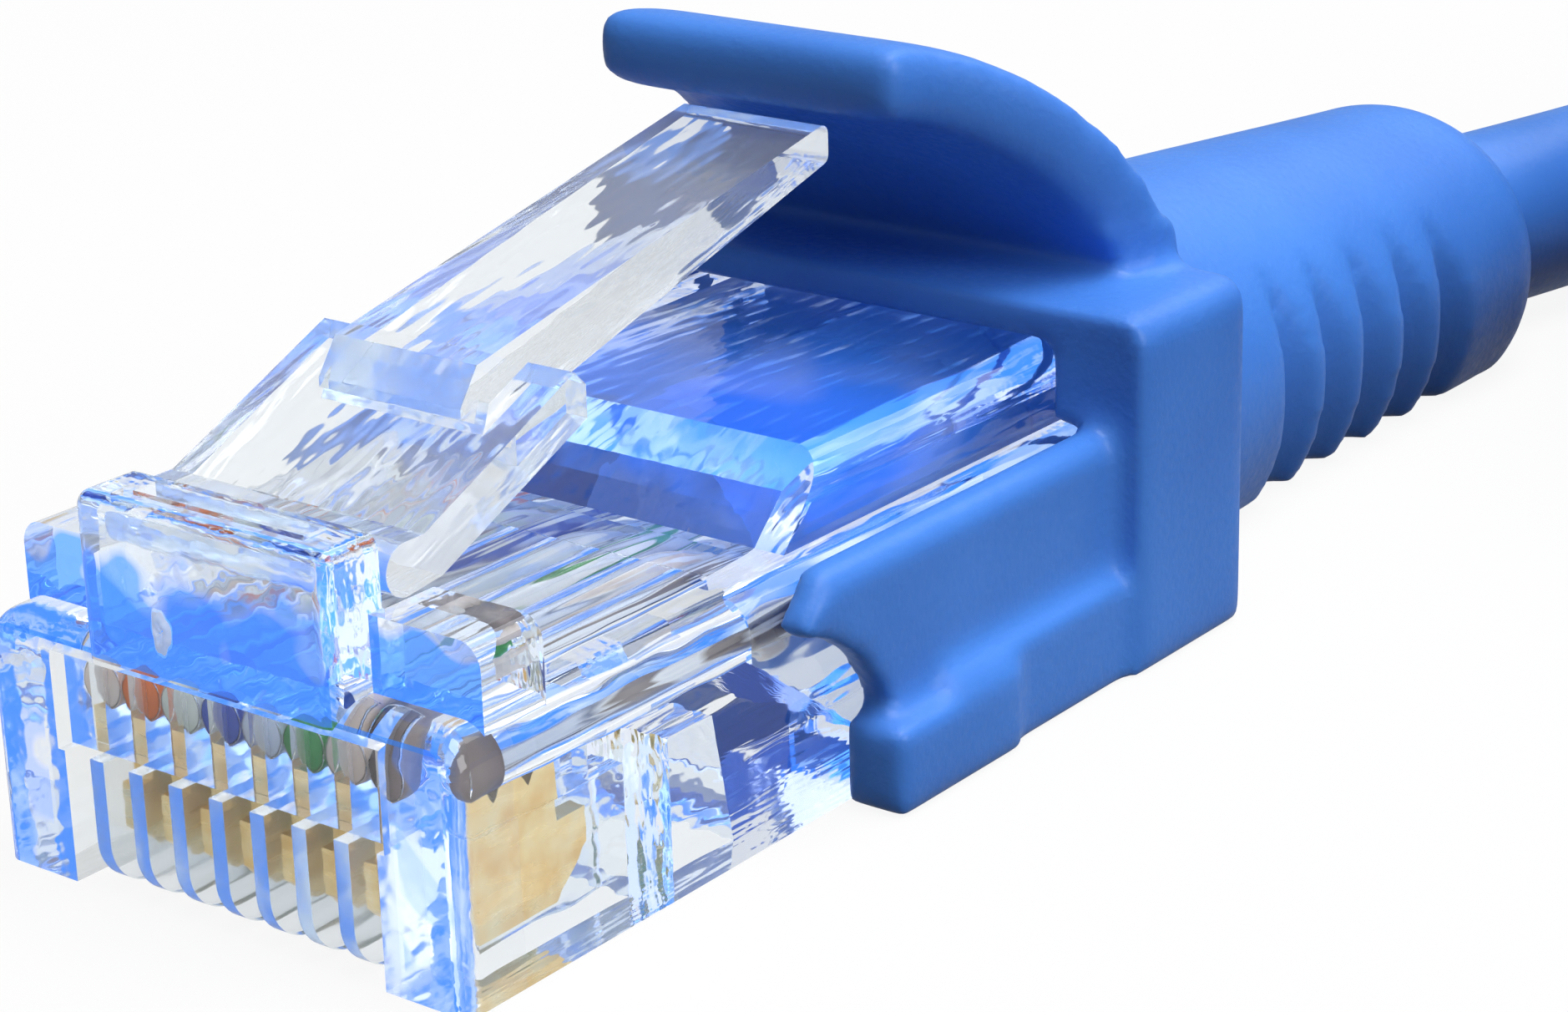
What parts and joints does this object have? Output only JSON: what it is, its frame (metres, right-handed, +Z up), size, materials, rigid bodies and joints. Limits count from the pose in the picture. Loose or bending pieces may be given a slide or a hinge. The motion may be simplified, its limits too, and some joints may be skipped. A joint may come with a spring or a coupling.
{
  "type": "rj45 modular plug",
  "caption": "Clear modular network plug with spring latch, gold blade contacts, colour-paired wires and a snagless strain-relief boot on a short patch cord.",
  "frame": {"origin": "under the middle of the plug and its boot, on the plane of the plug's underside", "axes": "+Y from the mating face back along the cable, +Z up on the latch side, +X across the contacts"},
  "size_m": [0.0854, 0.0973, 0.0135],
  "materials": {
    "clear_plastic": "clear polycarbonate",
    "gold_contact": "gold plated",
    "copper_core": "bare copper",
    "blue_jacket": "satin PVC",
    "blue_boot": "satin soft PVC",
    "wire_white_orange": "insulation",
    "wire_orange": "insulation",
    "wire_white_green": "insulation",
    "wire_blue": "insulation",
    "wire_white_blue": "insulation",
    "wire_green": "insulation",
    "wire_white_brown": "insulation",
    "wire_brown": "insulation"
  },
  "bodies": {
    "plug": {"plug_housing": "clear_plastic", "contact_1": "gold_contact", "contact_2": "gold_contact", "contact_3": "gold_contact", "contact_4": "gold_contact", "contact_5": "gold_contact", "contact_6": "gold_contact", "contact_7": "gold_contact", "contact_8": "gold_contact", "wire_1": "wire_white_orange", "wire_2": "wire_orange", "wire_3": "wire_white_green", "wire_4": "wire_blue", "wire_5": "wire_white_blue", "wire_6": "wire_green", "wire_7": "wire_white_brown", "wire_8": "wire_brown", "wire_core_1": "copper_core", "wire_core_2": "copper_core", "wire_core_3": "copper_core", "wire_core_4": "copper_core", "wire_core_5": "copper_core", "wire_core_6": "copper_core", "wire_core_7": "copper_core", "wire_core_8": "copper_core", "cable_jacket": "blue_jacket", "strain_relief_boot": "blue_boot", "patch_cord_lead": "blue_jacket", "patch_cord_coil": "blue_jacket", "patch_cord_tail": "blue_jacket", "far_plug_housing": "clear_plastic", "far_contacts": "gold_contact", "far_wires": "wire_white_blue", "far_wire_cores": "copper_core", "far_cable_jacket": "blue_jacket", "far_boot": "blue_boot"},
    "latch": {"latch_tab": "clear_plastic"},
    "hood": {"boot_hood": "blue_boot"},
    "far_latch": {"far_latch_tab": "clear_plastic"},
    "far_hood": {"far_hood": "blue_boot"}
  },
  "joints": [
    {"name": "hood_press", "type": "hinge", "parent": "plug", "child": "hood", "pos_m": [0, 0.00025, 0.00805], "axis": [1, 0, 0], "range_deg": [0, 24], "stiffness_Nm_per_rad": 0.02},
    {"name": "latch_press", "type": "hinge", "parent": "plug", "child": "latch", "pos_m": [0, -0.02025, 0.00705], "axis": [1, 0, 0], "range_deg": [-12, 0], "stiffness_Nm_per_rad": 0.02},
    {"name": "far_hood_press", "type": "hinge", "parent": "plug", "child": "far_hood", "pos_m": [0.0708, 0.00135, 0.00805], "axis": [0.9945, -0.1045, 0], "range_deg": [0, 24], "stiffness_Nm_per_rad": 0.02},
    {"name": "far_latch_press", "type": "hinge", "parent": "plug", "child": "far_latch", "pos_m": [0.06865, -0.01903, 0.00705], "axis": [0.9945, -0.1045, 0], "range_deg": [-12, 0], "stiffness_Nm_per_rad": 0.02}
  ],
  "couplings": [
    {"joint": "latch_press", "follows": "hood_press", "ratio": -0.5},
    {"joint": "far_latch_press", "follows": "far_hood_press", "ratio": -0.5}
  ]
}
